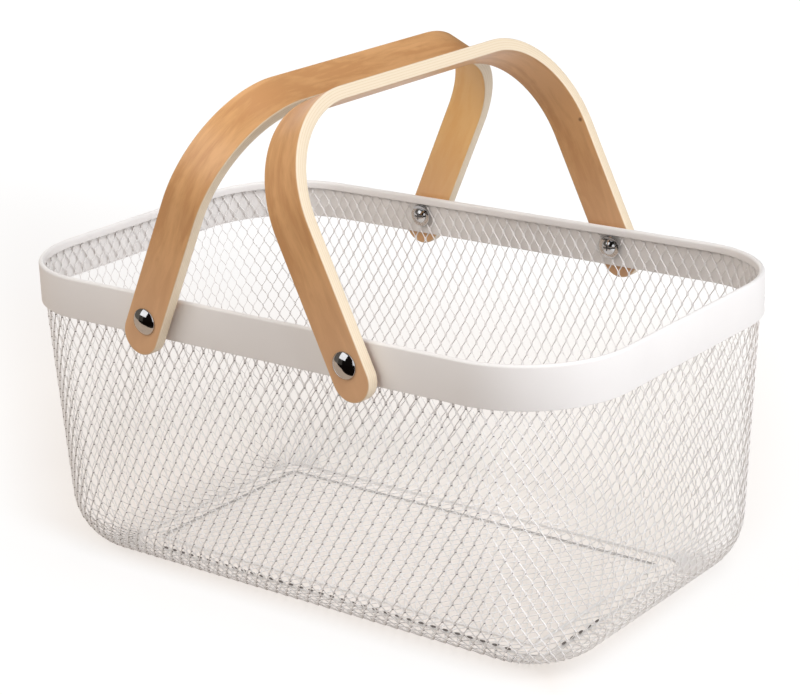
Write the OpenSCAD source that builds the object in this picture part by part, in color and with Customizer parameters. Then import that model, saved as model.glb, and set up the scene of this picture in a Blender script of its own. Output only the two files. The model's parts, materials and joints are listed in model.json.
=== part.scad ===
// Market basket of white expanded metal with a folded steel rim band and two bentwood handles
// that fold outward. X runs along the long side, the front is at -Y, Z is up, and the origin
// is in the middle of the footprint, on the surface that the basket stands on. Millimetres.

/* [Body] */
// Length over the rim band
body_w = 400; // [360:1:440]
// Depth over the rim band
body_d = 250; // [225:1:280]
// Height of the rim above the table
body_h = 184; // [160:1:210]
// Plan radius of the rim's corners
corner_r = 62; // [56:1:68]

/* [Rim band] */
// Height of the band's skirt
band_h = 24.5; // [21:0.5:28]
// Thickness of the band's steel
band_t = 0.8; // [0.6:0.1:1]
// Width of the folded lip on top
lip_w = 3.4; // [3.2:0.1:4]
// How far the lip's inner edge turns down
lip_return = 5; // [3:0.5:7]

/* [Mesh] */
// Lean of the walls from the vertical, degrees
wall_draft = 3.2; // [2.6:0.1:4]
// Radius between wall and floor
bottom_r = 38.5; // [32:0.5:44]
// Thickness of the expanded sheet
sheet_t = 1; // [0.8:0.1:1.1]
// Width of one diamond
diamond_w = 23.5; // [21:0.5:30]
// Height of one diamond
diamond_h = 41; // [38:1:50]
// Width of one strand
strand_w = 1.8; // [1.4:0.1:2.4]
// Plain edge where the sheet is trimmed
mesh_edge = 1.6; // [1:0.1:2.5]

/* [Base] */
// Flat foot between the wall and the raised panel
foot_w = 13; // [10:1:18]
// Corner radius of the raised panel
panel_r = 8; // [4:1:12]
// Rise of the panel above the foot
panel_rise = 2; // [1:0.5:4]

/* [Handles] */
// Distance of the hinges from the middle, along the length
pivot_x = 71; // [67:0.5:74]
// Width of the wooden strap
strap_w = 25; // [22:0.5:28]
// Thickness of the wooden strap
strap_t = 7.5; // [6:0.5:9]
// Height of the handle's top above its hinges
handle_rise = 138.5; // [130:0.5:150]
// Outer radius of the handle's shoulders
shoulder_r = 64.5; // [50:0.5:75]
// How far the rounded foot reaches past the hinge
foot_tip = 21; // [17:0.5:23]
// Gap left between the tops of the closed handles
handle_gap = 3.4; // [0.4:0.2:5]

/* [Hinges] */
// Diameter of the barrel nut's shank
barrel_d = 6; // [5:0.1:7]
// Diameter of the domed head
dome_d = 15.5; // [12:0.5:18]
// Height of the domed head
dome_h = 3.8; // [2.5:0.1:5]
// Radial running clearance of the handle on the shank
hinge_fit = 0.07; // [0.03:0.01:0.1]
// Thickness of the spacer between band and handle
spacer_t = 2.2; // [1.5:0.1:3]
// Diameter of the spacer and of the washer inside
washer_d = 14; // [12:0.5:14]
// Thickness of the washer inside
washer_t = 1; // [0.6:0.1:1.5]
// Diameter of the screw's shank
screw_d = 4; // [3:0.1:4.4]
// Diameter of the screw's head
screw_head_d = 9; // [7:0.5:11]
// Height of the screw's head
screw_head_h = 2.8; // [2:0.1:3.5]

/* [Hidden] */
$fn = 96;

// Clearances
slip = 0.2; // between flat faces that slide or are only nearly clamped
hole_fit = 0.1; // radial, round the shank in fixed pieces
thread_fit = 0.03; // radial, between screw and barrel
seam = 0.4; // between the wall's lower edge and the base
mesh_fit = 0.25; // between band and mesh

// Rectangle on which the rim's corner arcs are centred
core_x = body_w / 2 - corner_r;
core_y = body_d / 2 - corner_r;
pivot_z = body_h - band_h / 2;

// Outer face of the wall, from the top edge down: a leaning line and then an arc onto the table
mesh_top = body_h - lip_return - slip;
top_inset = band_t + mesh_fit;
line_end_z = bottom_r * (1 - sin(wall_draft));
line_len = (mesh_top - line_end_z) / cos(wall_draft);
arc_len = bottom_r * (90 - wall_draft) * PI / 180;
line_end_inset = top_inset + (mesh_top - line_end_z) * tan(wall_draft);
foot_inset = line_end_inset + bottom_r * cos(wall_draft);

// Slope of the wall from the vertical, its inset from the band and its height, at v down the sheet
function slope(v) = wall_draft + max(0, v - line_len) / bottom_r * 180 / PI;
function inset(v) = v < line_len
    ? top_inset + v * sin(wall_draft)
    : line_end_inset + bottom_r * (cos(wall_draft) - cos(slope(v)));
function height(v) = v < line_len
    ? mesh_top - v * cos(wall_draft)
    : bottom_r * (1 - sin(slope(v)));

// The rim's outline at u along it from the front's left end: centre of curvature and direction
rim_r = corner_r - top_inset;
quarter = PI / 2 * rim_r;
half_rim = 2 * core_x + 2 * core_y + 2 * quarter;
centres = [[core_x, -core_y], [core_x, core_y], [-core_x, core_y], [-core_x, -core_y]];
function outline(u, k = 0) =
    let (run = k % 2 == 0 ? 2 * core_x : 2 * core_y, from = centres[(k + 3) % 4], to = centres[k % 4])
    u <= run ? [from + (to - from) * u / run, 90 * k - 90]
    : u <= run + quarter ? [to, 90 * k - 90 + 90 * (u - run) / quarter]
    : outline(u - run - quarter, k + 1);

// Columns of half a diamond: an even number lies between the hinges, so that each shank passes
// through an opening, and an even number runs round each end
step = diamond_w / 2;
mid_cols = 2 * round(pivot_x / step / 2);
end_cols = 2 * round((half_rim - 2 * pivot_x) / step / 2);
half_cols = 2 * mid_cols + end_cols;
function column(i) =
    let (k = i + mid_cols, turn = floor(k / half_cols), c = k - turn * half_cols)
    turn * half_rim + (c < 2 * mid_cols
        ? (c / mid_cols - 1) * pivot_x
        : pivot_x + (c - 2 * mid_cols) / end_cols * (half_rim - 2 * pivot_x));

// Rows of half a diamond: the first is centred on the hinges, the last ones lie in the arc
hinge_v = (mesh_top - pivot_z) / cos(wall_draft);
line_rows = 1 + round((line_len - 2 * hinge_v) / diamond_h * 2);
arc_rows = round(arc_len / diamond_h * 2.8);
rows = line_rows + arc_rows;
function row_v(j) = j <= 1
    ? j * 2 * hinge_v
    : j <= line_rows
        ? 2 * hinge_v + (j - 1) / (line_rows - 1) * (line_len - 2 * hinge_v)
        : line_len + (j - line_rows) / arc_rows * arc_len;
function row(j) =
    let (j0 = max(0, min(rows - 1, floor(j))))
    row_v(j0) + (j - j0) * (row_v(j0 + 1) - row_v(j0));

// A point of the sheet at column i and distance v, on the outer face (side 0) or inner (side 1)
function skin(i, v, side) =
    let (
        o = outline((column(i) + core_x + 2 * half_rim) % (2 * half_rim)),
        r = corner_r - inset(v) - side * sheet_t * cos(slope(v))
    )
    [o[0].x + r * cos(o[1]), o[0].y + r * sin(o[1]), height(v) + side * sheet_t * sin(slope(v))];

// Corners of the opening at column i and row j: top, right, bottom and left. In the first and
// last row the opening is half a diamond, and the missing corner gives a point of the edge
function opening(i, j) =
    let (
        v = row(j),
        a = norm(skin(i + 1, v, 0) - skin(i - 1, v, 0)) / 2,
        b = (row(min(rows, j + 1)) - row(max(0, j - 1))) / (j == 0 || j == rows ? 1 : 2),
        f = 1 - min(0.4, strand_w / 2 * norm([a, b]) / (a * b)),
        v_side = j == 0 ? mesh_edge : j == rows ? v - mesh_edge : v,
        f_side = f - (j == 0 || j == rows ? mesh_edge / b : 0)
    )
    [
        j == 0 ? [i + 1, 0] : [i, row(j - f)],
        [i + f_side, v_side],
        j == rows ? [i + 1, row(rows)] : [i, row(j + f)],
        [i - f_side, v_side]
    ];

// The openings' corners are numbered by row, opening, corner and side of the sheet
function id(j, k, corner, side) = ((j * half_cols + (k + half_cols) % half_cols) * 4 + corner) * 2 + side;
function quad(a, b, c, d) = [[a, c, b], [a, d, c]];
// A patch of the sheet on both faces
function patch(p) = concat(
    quad([p[0], 0], [p[1], 0], [p[2], 0], [p[3], 0]),
    quad([p[3], 1], [p[2], 1], [p[1], 1], [p[0], 1])
);
// The cut edge of the sheet from one corner to the next
function cut(p, q) = quad([p, 0], [q, 0], [q, 1], [p, 1]);

// Sheet faces that belong to opening k of row j: the bond on its right, the two strands that
// lead to the row below, the plain edge and its own cut edges
function faces_of(j, k) =
    let (
        next = j % 2 == 0 ? k : k + 1,
        top = [j, k, 0],
        right = [j, k, 1],
        bottom = [j, k, 2],
        left = [j, k, 3],
        above = j == 0 ? top : [j - 1, next, 2],
        below = j == rows ? bottom : [j + 1, next, 0],
        hole = j == 0 ? [right, bottom, left] : j == rows ? [top, right, left] : [top, right, bottom, left]
    )
    concat(
        patch([above, right, below, [j, k + 1, 3]]),
        j == rows ? [] : patch([right, bottom, [j + 1, next, 3], [j + 1, next, 0]]),
        j == rows ? [] : patch([bottom, left, [j + 1, next - 1, 0], [j + 1, next - 1, 1]]),
        j == 0 ? concat(patch([[j, k - 1, 0], left, right, top]), cut([j, k - 1, 0], top)) : [],
        j == rows ? concat(patch([[j, k - 1, 2], bottom, right, left]), cut(bottom, [j, k - 1, 2])) : [],
        [for (n = [0 : len(hole) - 1]) each cut(hole[(n + 1) % len(hole)], hole[n])]
    );

module mesh_wall() {
    corners = [
        for (j = [0 : rows]) for (k = [0 : half_cols - 1])
            for (c = opening(2 * k + j % 2, j)) for (side = [0, 1]) skin(c[0], c[1], side)
    ];
    faces = [
        for (j = [0 : rows]) for (k = [0 : half_cols - 1])
            for (f = faces_of(j, k)) [for (p = f) id(p[0][0], p[0][1], p[0][2], p[1])]
    ];
    color("white") polyhedron(corners, faces);
}

// A rectangle with true arcs at its corners
module rounded(w, d, r) {
    square([w, d - 2 * r], center = true);
    square([w - 2 * r, d], center = true);
    for (x = [-1, 1], y = [-1, 1])
        translate([x * (w / 2 - r), y * (d / 2 - r)]) circle(r);
}

// The floor's openings, a staggered field of diamonds inside the outline of the children
module diamonds(w, d) {
    s = 1 - strand_w / 2 * norm([diamond_w, diamond_h]) * 2 / (diamond_w * diamond_h);
    cols = ceil(w / diamond_w);
    lines = ceil(d / diamond_h);
    for (i = [-cols : cols], j = [-lines : lines])
        if ((i + j) % 2 == 0)
            translate([i * diamond_w / 2, j * diamond_h / 2])
                polygon([
                    [0, s * diamond_h / 2], [s * diamond_w / 2, 0],
                    [0, -s * diamond_h / 2], [-s * diamond_w / 2, 0]
                ]);
}

module mesh_base() {
    base_w = body_w - 2 * foot_inset - 2 * seam;
    base_d = body_d - 2 * foot_inset - 2 * seam;
    base_r = corner_r - foot_inset - seam;
    panel_w = base_w - 2 * foot_w;
    panel_d = base_d - 2 * foot_w;
    color("white") {
        // foot, with a plain edge against the wall
        linear_extrude(sheet_t) difference() {
            rounded(base_w, base_d, base_r);
            rounded(panel_w - 2 * sheet_t, panel_d - 2 * sheet_t, panel_r - sheet_t);
            intersection() {
                diamonds(base_w, base_d);
                rounded(base_w - 2 * mesh_edge, base_d - 2 * mesh_edge, base_r - mesh_edge);
            }
        }
        // pressed step between foot and panel
        linear_extrude(panel_rise + sheet_t) difference() {
            rounded(panel_w, panel_d, panel_r);
            rounded(panel_w - 2 * sheet_t, panel_d - 2 * sheet_t, panel_r - sheet_t);
            diamonds(base_w, base_d);
        }
        translate([0, 0, panel_rise]) linear_extrude(sheet_t) difference() {
            rounded(panel_w, panel_d, panel_r);
            diamonds(base_w, base_d);
        }
    }
}

// Carries a profile, drawn as radius from the corner's centre against height, round the rim
module round_rim() {
    for (k = [0 : 3]) {
        run = k % 2 == 0 ? 2 * core_x : 2 * core_y;
        translate(centres[k]) rotate(90 * k - 90) {
            rotate_extrude(angle = 90) children();
            rotate([90, 0, 0]) linear_extrude(run) children();
        }
    }
}

// Steel band: skirt outside the mesh, rolled lip, and a short turn-down that ends above the mesh
module rim_band() {
    roll = lip_w / 2;
    color("whitesmoke") difference() {
        round_rim() {
            translate([corner_r - band_t, body_h - band_h]) square([band_t, band_h - roll]);
            translate([corner_r - lip_w, body_h - lip_return]) square([band_t, lip_return - roll]);
            translate([corner_r - roll, body_h - roll]) difference() {
                circle(roll);
                circle(roll - band_t);
                translate([-lip_w, -2 * lip_w]) square(2 * lip_w);
            }
        }
        for (x = [-1, 1], y = [-1, 1])
            at_hinge(x, y) translate([0, 0, body_d / 2 - corner_r / 2])
                cylinder(d = barrel_d + 2 * hole_fit, h = corner_r);
    }
}

// Hinge line, as heights along each hinge's own axis from the basket's middle plane outward
strap_in = body_d / 2 + spacer_t + slip;
strap_out = strap_in + strap_t;
washer_seat = body_d / 2 - top_inset - (mesh_top - pivot_z + washer_d / 2) * tan(wall_draft)
    - sheet_t / cos(wall_draft) - slip;
head_seat = washer_seat - washer_t;
barrel_end = washer_seat + slip;
bore_depth = (strap_out - barrel_end) * 0.65;

// Turns and moves a piece that is modelled along Z to the hinge at side x and face y
module at_hinge(x, y) {
    translate([x * pivot_x, 0, pivot_z]) rotate([-90 * y, 0, 0]) children();
}

// The handles lean inward until their tops meet in the middle
lean = asin((pivot_x - handle_gap / 2) / norm([handle_rise, strap_w / 2])) - atan2(strap_w / 2, handle_rise);

// Arch with round shoulders, open at the bottom
module arch(half, rise, r) {
    drop = 2 * foot_tip;
    translate([-half, -drop]) square([2 * half, rise - r + drop]);
    translate([r - half, 0]) square([2 * (half - r), rise]);
    for (x = [-1, 1]) translate([x * (half - r), rise - r]) circle(r);
}

// Bent strap with rounded feet, its hinge line on the Y axis
module strap() {
    difference() {
        intersection() {
            rotate([90, 0, 90]) linear_extrude(strap_w, center = true) difference() {
                arch(strap_out, handle_rise, shoulder_r);
                arch(strap_in, handle_rise - strap_t, shoulder_r - strap_t);
            }
            rotate([90, 0, 0]) linear_extrude(2 * strap_out + 2, center = true) {
                translate([0, strap_w / 2 - foot_tip]) circle(d = strap_w);
                translate([-strap_w / 2, strap_w / 2 - foot_tip]) square([strap_w, handle_rise + foot_tip]);
            }
        }
        rotate([90, 0, 0]) cylinder(d = barrel_d + 2 * hinge_fit, h = 2 * strap_out + 2, center = true);
    }
}

module handle(x) {
    color("burlywood") translate([x * pivot_x, 0, pivot_z]) rotate([0, -x * lean, 0]) strap();
}

// Domed head on a hollow shank that the screw is driven into from inside
module barrel_nut() {
    ball_r = (dome_h * dome_h + dome_d * dome_d / 4) / (2 * dome_h);
    head = strap_out + slip;
    color("silver") difference() {
        union() {
            translate([0, 0, head]) rotate_extrude() intersection() {
                translate([0, dome_h - ball_r]) circle(ball_r);
                square([dome_d / 2, dome_h]);
            }
            translate([0, 0, barrel_end]) cylinder(d = barrel_d, h = head - barrel_end + dome_h / 4);
        }
        translate([0, 0, barrel_end - 1]) cylinder(d = screw_d + 2 * thread_fit, h = bore_depth + 1);
    }
}

module spacer() {
    color("gainsboro") translate([0, 0, body_d / 2]) difference() {
        cylinder(d = washer_d, h = spacer_t);
        translate([0, 0, -1]) cylinder(d = barrel_d + 2 * hole_fit, h = spacer_t + 2);
    }
}

module washer() {
    color("silver") translate([0, 0, head_seat]) difference() {
        cylinder(d = washer_d, h = washer_t);
        translate([0, 0, -1]) cylinder(d = screw_d + 2 * hole_fit, h = washer_t + 2);
    }
}

// Pan head with a cross recess, facing into the basket
module screw() {
    ball_r = (screw_head_h * screw_head_h + screw_head_d * screw_head_d / 4) / (2 * screw_head_h);
    recess = [screw_head_d * 0.55, screw_head_d * 0.12, screw_head_h];
    color("silver") difference() {
        union() {
            translate([0, 0, head_seat]) mirror([0, 0, 1]) rotate_extrude() intersection() {
                translate([0, screw_head_h - ball_r]) circle(ball_r);
                square([screw_head_d / 2, screw_head_h]);
            }
            translate([0, 0, head_seat - screw_head_h / 4])
                cylinder(d = screw_d, h = screw_head_h / 4 + barrel_end + bore_depth - slip - head_seat);
        }
        for (turn = [0, 90])
            translate([0, 0, head_seat - screw_head_h]) rotate(turn) cube(recess, center = true);
    }
}

mesh_wall();
mesh_base();
rim_band();
handle(-1);  // left_handle
handle(1);  // right_handle
at_hinge(-1, -1) barrel_nut();  // barrel_nut_front_left
at_hinge(1, -1) barrel_nut();  // barrel_nut_front_right
at_hinge(-1, 1) barrel_nut();  // barrel_nut_back_left
at_hinge(1, 1) barrel_nut();  // barrel_nut_back_right
at_hinge(-1, -1) spacer();  // spacer_front_left
at_hinge(1, -1) spacer();  // spacer_front_right
at_hinge(-1, 1) spacer();  // spacer_back_left
at_hinge(1, 1) spacer();  // spacer_back_right
at_hinge(-1, -1) washer();  // washer_front_left
at_hinge(1, -1) washer();  // washer_front_right
at_hinge(-1, 1) washer();  // washer_back_left
at_hinge(1, 1) washer();  // washer_back_right
at_hinge(-1, -1) screw();  // screw_front_left
at_hinge(1, -1) screw();  // screw_front_right
at_hinge(-1, 1) screw();  // screw_back_left
at_hinge(1, 1) screw();  // screw_back_right
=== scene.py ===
# Mesh storage basket with two bentwood handles.
# Shapes are worked out in millimetres and become metres in addPiece.
import json
import math

import bmesh
import bpy
import numpy as np
from mathutils import Matrix, Vector


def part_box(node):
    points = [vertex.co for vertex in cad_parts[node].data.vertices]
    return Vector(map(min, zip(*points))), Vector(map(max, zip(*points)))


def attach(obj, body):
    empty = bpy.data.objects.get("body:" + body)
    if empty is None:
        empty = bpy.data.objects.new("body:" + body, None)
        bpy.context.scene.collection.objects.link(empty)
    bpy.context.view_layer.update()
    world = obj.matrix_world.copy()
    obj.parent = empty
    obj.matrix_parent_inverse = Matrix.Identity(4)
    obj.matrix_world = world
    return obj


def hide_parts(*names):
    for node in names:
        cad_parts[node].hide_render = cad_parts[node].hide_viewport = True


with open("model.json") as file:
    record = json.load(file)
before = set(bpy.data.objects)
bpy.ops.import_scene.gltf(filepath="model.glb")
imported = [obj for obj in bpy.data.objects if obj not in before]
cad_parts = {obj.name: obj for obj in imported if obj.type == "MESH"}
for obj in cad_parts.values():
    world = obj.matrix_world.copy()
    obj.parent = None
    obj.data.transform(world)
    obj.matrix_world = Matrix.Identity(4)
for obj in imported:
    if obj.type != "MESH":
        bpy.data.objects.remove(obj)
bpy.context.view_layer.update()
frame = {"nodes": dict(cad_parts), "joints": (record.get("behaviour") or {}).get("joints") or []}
print("frame loaded:", len(frame["nodes"]), "nodes")


# Helpers
def colour(text):
    # sRGB hex to the linear values that a shader socket holds
    s = np.array([int(text[i:i + 2], 16) for i in (1, 3, 5)]) / 255
    linear = np.where(s <= 0.04045, s / 12.92, ((s + 0.055) / 1.055) ** 2.4)
    return (*linear.tolist(), 1.0)


def addNode(tree, kind, settings=None, **links):
    # adds a node; a link is a socket of another node or a plain value. An input's number goes as
    # in3, and stops among the settings are a colour ramp's (place, hex) pairs
    node = tree.nodes.new(kind)
    for key, value in (settings or {}).items():
        if key == "stops":
            points = node.color_ramp.elements
            while len(points) < len(value):
                points.new(0.5)
            for point, (place, text) in zip(points, value):
                point.position, point.color = place, colour(text)
        else:
            setattr(node, key, value)
    for key, value in links.items():
        spot = int(key[2:]) if key[:2] == "in" and key[2:].isdigit() else key.replace("_", " ")
        socket = node.inputs[spot]
        if isinstance(value, bpy.types.NodeSocket):
            tree.links.new(value, socket)
        else:
            socket.default_value = value
    return node


def newMaterial(name, **sockets):
    # a material with one Principled shader, and its settings on the shader's own sockets
    material = bpy.data.materials.new(name)
    material.use_nodes = True
    tree = material.node_tree
    shader = tree.nodes["Principled BSDF"]
    for key, value in sockets.items():
        shader.inputs[key.replace("_", " ")].default_value = value
    return material, tree, shader


def addPiece(name, points, quads, material, body, sharp=35, values=None, turnOut=False):
    # points in mm, quads as rows of four indices; coincident points are welded, flat faces dropped.
    # values has a number or vector for each point, or a row of four numbers for each quad
    mesh = bpy.data.meshes.new(name)
    mesh.from_pydata((points.reshape(-1, 3) / 1000).tolist(), [], quads.reshape(-1, 4).tolist())
    for key, data in (values or {}).items():
        vectors = data.shape[-1] == 3 and data.ndim == 2
        domain = "CORNER" if data.shape[-1] == 4 and data.ndim == 2 else "POINT"
        field = mesh.attributes.new(key, "FLOAT_VECTOR" if vectors else "FLOAT", domain)
        field.data.foreach_set("vector" if vectors else "value", data.astype(np.float32).ravel())
    shape = bmesh.new()
    shape.from_mesh(mesh)
    bmesh.ops.remove_doubles(shape, verts=shape.verts, dist=2e-6)
    bmesh.ops.dissolve_degenerate(shape, edges=shape.edges, dist=1e-6)
    if turnOut:
        bmesh.ops.recalc_face_normals(shape, faces=shape.faces)
    shape.to_mesh(mesh)
    shape.free()
    mesh.shade_smooth()
    mesh.set_sharp_from_angle(angle=math.radians(sharp))
    piece = bpy.data.objects.new(name, mesh)
    bpy.context.scene.collection.objects.link(piece)
    mesh.materials.append(material)
    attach(piece, body)
    return piece


def gridQuads(rows, cols, closedRows=False, closedCols=False):
    # quads of a grid of rows by cols points, numbered row by row
    r = np.arange(rows if closedRows else rows - 1)[:, None]
    c = np.arange(cols if closedCols else cols - 1)[None, :]
    r2, c2 = (r + 1) % rows, (c + 1) % cols
    return np.stack(np.broadcast_arrays(r * cols + c, r2 * cols + c, r2 * cols + c2, r * cols + c2), -1)


# Basket: the sizes that its sheets share
rimLow, rimHigh = (np.array(corner) * 1000 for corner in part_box("rim_band"))
footLow, footHigh = (np.array(corner) * 1000 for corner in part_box("mesh_base"))
basket = {
    "length": rimHigh[0] - rimLow[0],
    "depth": rimHigh[1] - rimLow[1],
    "height": rimHigh[2],
    "cornerRadius": 62,
    "topInset": 0.93,     # mesh's outer face behind the band's, at its top
    "draft": math.radians(3.2),
    "bottomRadius": 38.5,
    "topDrop": 3,         # mesh edge below the lip
}
coreX = basket["length"] / 2 - basket["cornerRadius"]
coreY = basket["depth"] / 2 - basket["cornerRadius"]


def aroundRim(u, radius):
    # u runs anticlockwise from the front's left end along straight runs and quarter circles of the
    # given radius. Gives the centre of curvature and the angle, both linear in u piece by piece,
    # the number of the piece (even for runs, 0 in front) and the share of it that lies behind u
    quarter = math.pi / 2 * radius
    stops = np.cumsum([0, 2 * coreX, quarter, 2 * coreY, quarter, 2 * coreX, quarter, 2 * coreY, quarter])
    u = np.mod(u, stops[-1])
    x = np.interp(u, stops, coreX * np.array([-1, 1, 1, 1, 1, -1, -1, -1, -1]))
    y = np.interp(u, stops, coreY * np.array([-1, -1, -1, 1, 1, 1, 1, -1, -1]))
    angle = np.radians(np.interp(u, stops, [-90, -90, 0, 0, 90, 90, 180, 180, 270]))
    piece = np.clip(np.searchsorted(stops, u, side="right") - 1, 0, 7)
    return x, y, angle, piece, (u - stops[piece]) / np.diff(stops)[piece]


def rimLength(radius):
    # girth: four straight runs and a full circle of the given radius
    return 4 * (coreX + coreY) + 2 * math.pi * radius


# wall down its sheet: a line that leans by the draft, then an arc that ends flat on the table
meshTop = basket["height"] - basket["topDrop"]
lineEndZ = basket["bottomRadius"] * (1 - math.sin(basket["draft"]))
lineLength = (meshTop - lineEndZ) / math.cos(basket["draft"])
wallLength = lineLength + basket["bottomRadius"] * (math.pi / 2 - basket["draft"])
lineEndInset = basket["topInset"] + (meshTop - lineEndZ) * math.tan(basket["draft"])


def downWall(v):
    # slope from the vertical, inset and height at v mm down the sheet
    r, draft = basket["bottomRadius"], basket["draft"]
    slope = draft + np.maximum(0, v - lineLength) / r
    inset = np.where(
        v < lineLength,
        basket["topInset"] + v * math.sin(draft),
        lineEndInset + r * (math.cos(draft) - np.cos(slope)),
    )
    height = np.where(v < lineLength, meshTop - v * math.cos(draft), r * (1 - np.sin(slope)))
    return slope, inset, height


# Expanded metal
expanded = {
    "pitchAround": 7.65,   # width of a diamond, knuckle to knuckle
    "pitchDown": 12.86,    # height of a diamond
    "strand": 0.34,        # width of a strand, seen square to the sheet
    "knuckle": 0.7,        # half height of the joint's middle line
    "joint": 0.44,         # half width of a joint
    "wallTwist": math.radians(50),    # turn of the joints out of the sheet
    "floorTwist": math.radians(25),   # the floor is rolled flatter
    "sheet": 0.36,         # thickness of the metal
    "plainEdge": 0.8,      # unslit metal along a border
    "shadeShare": (0.42, 1, 0.55, 0.15),   # painted shade on a joint: upper tip, lower tip, its sides, middle
}


def expandedMetal(across, down, closed, halfWide, halfTall, twist, share):
    # Openings are hexagons, tall diamonds whose sides are cut off by the joints. Centres lie where
    # column + row is even. halfWide(column, row) is half a diamond's width in mm, and share holds the
    # places along a strand where it is split. Openings outside the field are flattened onto its
    # border, so that the same rules close the border. Gives every corner as column, row and depth,
    # the quads of both faces and all cut edges, and for each corner of a quad its painted shade.
    rows = np.arange(-1, down + 2)[:, None]
    count = across // 2 if closed else across // 2 + 3
    odd = rows % 2
    columns = 2 * np.arange(count)[None, :] + odd - (0 if closed else 2)
    rows = rows + 0 * columns
    inside = (rows >= 0) & (rows <= down)
    if not closed:
        inside &= (columns >= 0) & (columns <= across)
    a, b = halfWide(columns, rows), halfTall
    # joints and strands narrow with the diamonds, so that no opening closes
    joint = np.minimum(expanded["joint"], 0.3 * a)
    strand = expanded["strand"] * joint / expanded["joint"]
    rise = b - 2 * expanded["knuckle"]
    slant = np.hypot(a, rise) / a
    tip = b - expanded["knuckle"] - strand / 2 * slant
    flat = expanded["knuckle"] + joint * rise / a - strand / 2 * slant
    f = np.where(inside, 1 - joint / a, 1)
    tip = np.where(inside, tip / b, 1)
    flat = np.where(inside, np.minimum(flat / b, tip * 0.6), 0)
    lean = np.where(inside, joint * math.tan(twist), 0)

    # hexagon's corners clockwise from the top, and between them the points that split the strands
    corners = [(0, -1), (1, 0), (1, 1), (0, 2), (-1, 1), (-1, 0)]
    side = np.array([c[0] for c in corners])
    level = np.stack([-tip, -flat, flat, tip, flat, -flat], -1)
    hexC = columns[..., None] + side * f[..., None]
    hexR = rows[..., None] + level
    hexN = -side * lean[..., None]
    sides = ((0, 1, True), (1, 2, False), (2, 3, True), (3, 4, True), (4, 5, False), (5, 0, True))
    ring = [(start, end, s) for start, end, split in sides for s in (share if split else (0,))]
    start, end, s = (np.array(part) for part in zip(*ring))
    # the last point of each opening is the middle of the joint on its right
    withMiddle = lambda values, middle: np.concatenate(
        [values[..., start] * (1 - s) + values[..., end] * s, middle[..., None]], -1)
    ringC = withMiddle(hexC, columns + 1.0)
    ringR = withMiddle(hexR, rows + 0.0)
    ringN = withMiddle(hexN, 0.0 * rows)
    edgeR = np.where(inside, expanded["plainEdge"] / b, 0)[..., None]
    ringR = np.clip(ringR, edgeR, down - edgeR)
    if not closed:
        edgeC = np.where(inside, expanded["plainEdge"] / a, 0)[..., None]
        ringC = np.clip(ringC, edgeC, across - edgeC)

    total = len(ring)
    m = len(share)

    def corner(row, k, at, face):
        # number of a ring point of opening k in a row, on the outer (0) or inner (1) face
        k = np.mod(k, count)
        at = total if at is None else np.mod(at, total)
        return ((row * count + k) * (total + 1) + at) * 2 + face

    faces, shadeShare = [], []
    unshaded = (0, 0, 0, 0)

    def addFaces(quads, shadeAmount=unshaded):
        faces.append(quads.reshape(-1, 4))
        shadeShare.append(np.broadcast_to(np.array(shadeAmount, float), faces[-1].shape))

    def patch(points, shadeAmount=unshaded):
        # a strip of the sheet on both faces, the inner one turned round
        for face in (0, 1):
            order = points if face == 0 else points[::-1]
            quads = np.stack(np.broadcast_arrays(*[corner(r, k, at, face) for r, k, at in order]), -1)
            addFaces(quads, shadeAmount if face == 0 else unshaded)

    row = np.arange(0, down + 3)[:, None]
    parity = (row - 1) % 2
    k = np.arange(count)[None, :]
    first = 0 if closed else 1
    last = count if closed else count - 1
    # strands, between a row and the next one down
    upper, kk, right = row[:-1], k[:, first:last], parity[:-1]
    for s in range(m):
        patch([(upper, kk, m + 1 + s), (upper, kk, m + 2 + s),
               (upper + 1, kk + right, -s - 1), (upper + 1, kk + right, -s)])
        patch([(upper, kk, 2 * m + 1 + s), (upper, kk, 2 * m + 2 + s),
               (upper + 1, kk + right - 1, m - s - 1), (upper + 1, kk + right - 1, m - s)])
    # joints, on the right of each opening
    middle, kk, right = row[1:-1], k if closed else k[:, :-1], parity[1:-1]
    above, below = (middle - 1, kk + right, 2 * m + 1), (middle + 1, kk + right, 0)
    centre = (middle, kk, None)
    # painted shade at the sharp ends of the openings, darkest below a joint
    high, low, beside, between = expanded["shadeShare"]
    patch([above, (middle, kk, m), (middle, kk, m + 1), centre], (high, 0, 0, 0))
    patch([centre, (middle, kk, m + 1), below, (middle, kk + 1, 3 * m + 1)], (between, beside, low, beside))
    patch([centre, (middle, kk + 1, 3 * m + 1), (middle, kk + 1, 3 * m + 2), above], (0, 0, 0, high))
    # cut edges, and the half rings of the outside openings that close the border
    at = np.arange(total)
    half = (at + 0.5) / total
    use = inside[..., None] | ((rows < 0)[..., None] & (abs(half - 0.5) < 0.25))
    use = use | ((rows > down)[..., None] & (abs(half - 0.5) > 0.25))
    if not closed:
        wide = (rows >= 0) & (rows <= down)
        use = use | ((wide & (columns < 0))[..., None] & (half < 0.5))
        use = use | ((wide & (columns > across))[..., None] & (half > 0.5))
    r3, k3, a3 = (part[use] for part in np.broadcast_arrays(row[..., None], k[..., None], at))
    addFaces(np.stack([corner(r3, k3, a3, 0), corner(r3, k3, a3, 1),
                       corner(r3, k3, a3 + 1, 1), corner(r3, k3, a3 + 1, 0)], -1))
    # the metal's thickness lies square to the twisted strands, so the faces are shifted sideways
    both = lambda values: np.repeat(values[..., None], 2, -1)
    face = np.array([-0.5, 0.5]) * expanded["sheet"]
    shift = -face * math.sin(twist) / a[..., None, None]
    return (both(ringC) + shift, both(ringR), both(ringN) + face * math.cos(twist),
            np.concatenate(faces), np.concatenate(shadeShare))


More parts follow.
